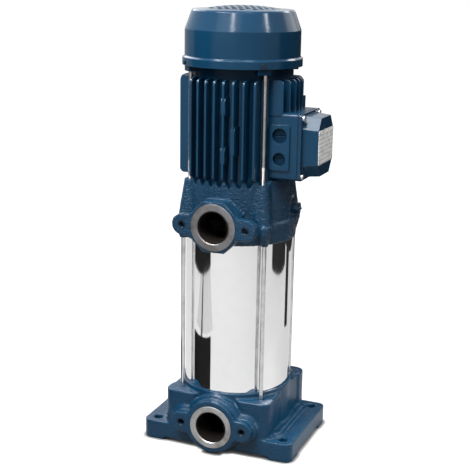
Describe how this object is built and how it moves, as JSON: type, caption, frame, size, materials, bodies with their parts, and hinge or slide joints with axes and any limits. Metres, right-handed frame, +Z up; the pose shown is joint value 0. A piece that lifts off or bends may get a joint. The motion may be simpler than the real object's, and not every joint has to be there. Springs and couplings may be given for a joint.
{
  "type": "vertical multistage pump",
  "caption": "Vertical pump with cast base and head, polished jacket held by tie rods, two ports facing one way and a finned motor with a side terminal box.",
  "frame": {"origin": "on the shaft axis at floor level, centre of the four mounting holes", "axes": "+Z up along the shaft, -Y the way both ports face, +X towards the terminal box"},
  "size_m": [0.2239, 0.1776, 0.5826],
  "materials": {
    "base_paint": "gloss blue enamel over a cast iron skin",
    "head_paint": "gloss blue enamel over a coarse cast iron skin",
    "frame_paint": "gloss blue enamel over die-cast aluminium",
    "cover_paint": "satin blue enamel over pressed steel",
    "polished_steel": "mirror-polished stainless steel",
    "rod_steel": "satin zinc-plated rod",
    "zinc_steel": "bright zinc plate",
    "screw_black": "dark painted screw",
    "stainless": "satin stainless steel",
    "bearing_steel": "ground bearing steel",
    "lamination": "stacked electrical steel sheet",
    "cast_aluminium": "die-cast aluminium",
    "nameplate_metal": "bare matt aluminium plate",
    "copper": "enamelled or soft copper",
    "brass": "turned brass",
    "rubber": "black nitrile rubber",
    "black_resin": "glass-filled black resin",
    "ceramic": "lapped ceramic",
    "carbon": "seal carbon in a steel shell"
  },
  "bodies": {
    "pump": {"base_casting": "base_paint", "drain_plug": "zinc_steel", "drain_plug_washer": "copper", "outer_jacket": "polished_steel", "jacket_seals": "rubber", "tie_rods": "rod_steel", "tie_rod_nuts": "zinc_steel", "tie_rod_washers": "zinc_steel", "inlet_guide": "stainless", "lower_bearing_bush": "brass", "stage_casings": "stainless", "diffusers": "black_resin", "wear_rings": "black_resin", "stack_collar": "stainless", "head_casting": "head_paint", "priming_plug": "brass", "priming_plug_washer": "copper", "seal_seat": "ceramic", "seal_seat_ring": "rubber", "motor_frame": "frame_paint", "stator_core": "lamination", "stator_windings": "copper", "rear_shield": "frame_paint", "motor_rods": "rod_steel", "motor_rod_nuts": "zinc_steel", "drive_bearing_outer_ring": "bearing_steel", "fan_bearing_outer_ring": "bearing_steel", "preload_washer": "zinc_steel", "fan_cover": "cover_paint", "fan_cover_screws": "screw_black", "terminal_box_lid": "cover_paint", "terminal_box_gasket": "rubber", "lid_screws": "zinc_steel", "terminal_board": "black_resin", "terminal_studs": "brass", "large_cable_plug": "frame_paint", "small_cable_plug": "frame_paint", "nameplate": "nameplate_metal", "nameplate_rivets": "zinc_steel"},
    "rotor": {"shaft": "stainless", "impellers": "stainless", "shaft_sleeves": "stainless", "impeller_nut": "stainless", "impeller_washer": "stainless", "seal_head": "carbon", "seal_spring": "stainless", "water_slinger": "rubber", "rotor_core": "lamination", "rotor_end_rings": "cast_aluminium", "drive_bearing_inner_ring": "bearing_steel", "fan_bearing_inner_ring": "bearing_steel", "drive_bearing_clip": "zinc_steel", "fan": "black_resin", "fan_clip": "zinc_steel"},
    "drive_cage": {"drive_bearing_cage": "brass", "drive_bearing_balls": "bearing_steel"},
    "fan_cage": {"fan_bearing_cage": "brass", "fan_bearing_balls": "bearing_steel"}
  },
  "joints": [
    {"name": "shaft_spin", "type": "hinge", "parent": "pump", "child": "rotor", "pos_m": [0, 0, 0.4], "axis": [0, 0, 1], "continuous": true},
    {"name": "drive_cage_spin", "type": "hinge", "parent": "pump", "child": "drive_cage", "pos_m": [0, 0, 0.353], "axis": [0, 0, 1], "continuous": true},
    {"name": "fan_cage_spin", "type": "hinge", "parent": "pump", "child": "fan_cage", "pos_m": [0, 0, 0.499], "axis": [0, 0, 1], "continuous": true}
  ],
  "couplings": [
    {"joint": "drive_cage_spin", "follows": "shaft_spin", "ratio": 0.3815},
    {"joint": "fan_cage_spin", "follows": "shaft_spin", "ratio": 0.3816}
  ]
}
